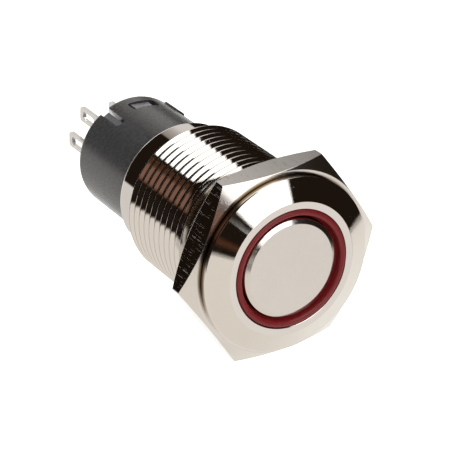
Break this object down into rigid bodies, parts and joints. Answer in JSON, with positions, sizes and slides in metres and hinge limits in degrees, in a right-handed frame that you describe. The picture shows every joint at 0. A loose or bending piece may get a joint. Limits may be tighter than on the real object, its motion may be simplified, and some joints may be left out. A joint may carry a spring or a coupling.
{
  "type": "industrial push button",
  "caption": "Round metal panel push button with a light ring, threaded barrel, clamping nut, change-over contact and solder terminals.",
  "frame": {"origin": "on the button's axis, in the plane of the underside of the head, where the panel's front face lies", "axes": "+Z along the axis out of the button's front, -Z towards the terminals; +X towards the lighting terminal marked plus; -Y towards the row of contact terminals"},
  "size_m": [0.0218, 0.02, 0.0374],
  "materials": {
    "nickel_plate": "bright nickel plate on turned brass, fine turning marks",
    "nickel_satin": "satin nickel plate on brass",
    "red_diffuser": "translucent red plastic, polished",
    "rubber": "soft matt silicone rubber",
    "white_plastic": "moulded natural white plastic",
    "black_plastic": "moulded dark grey-black plastic, satin",
    "grey_plastic": "moulded blue-grey plastic, satin",
    "resin": "cast black resin",
    "spring_steel": "drawn spring wire",
    "circuit_board": "green solder resist on glass-fibre board",
    "led_chip": "red light-emitting chips with clear lenses",
    "resistor_chip": "ceramic chip resistors",
    "tinned_copper": "tinned copper wire",
    "contact_bronze": "phosphor bronze strip",
    "silver": "silver contact rivets",
    "tinned_brass": "tin plated brass strip"
  },
  "bodies": {
    "body": {"bezel_shell": "nickel_plate", "light_ring": "red_diffuser", "panel_seal": "rubber", "light_ring_seal": "rubber", "housing_seal": "rubber", "contact_block": "white_plastic", "rear_housing": "black_plastic", "terminal_base": "grey_plastic", "terminal_sealant": "resin", "return_spring": "spring_steel", "led_board": "circuit_board", "leds": "led_chip", "led_resistors": "resistor_chip", "led_lead_plus": "tinned_copper", "led_lead_minus": "tinned_copper", "terminal_nc": "tinned_brass", "terminal_no": "tinned_brass", "terminal_common": "tinned_brass", "terminal_led_plus": "tinned_brass", "terminal_led_minus": "tinned_brass"},
    "button": {"button_cap": "nickel_satin", "button_seal": "rubber", "plunger": "white_plastic", "plunger_clip": "spring_steel", "moving_contact": "contact_bronze", "moving_contact_tips": "silver", "contact_spring": "spring_steel"},
    "nut": {"hex_nut": "nickel_plate"}
  },
  "joints": [
    {"name": "button_press", "type": "slide", "parent": "body", "child": "button", "axis": [0, 0, -1], "range_m": [0, 0.002], "stiffness_N_per_m": 900, "springref_m": -0.001, "deforming": ["return_spring"]},
    {"name": "nut_travel", "type": "slide", "parent": "body", "child": "nut", "axis": [0, 0, -1], "range_m": [0, 0.0132]}
  ]
}
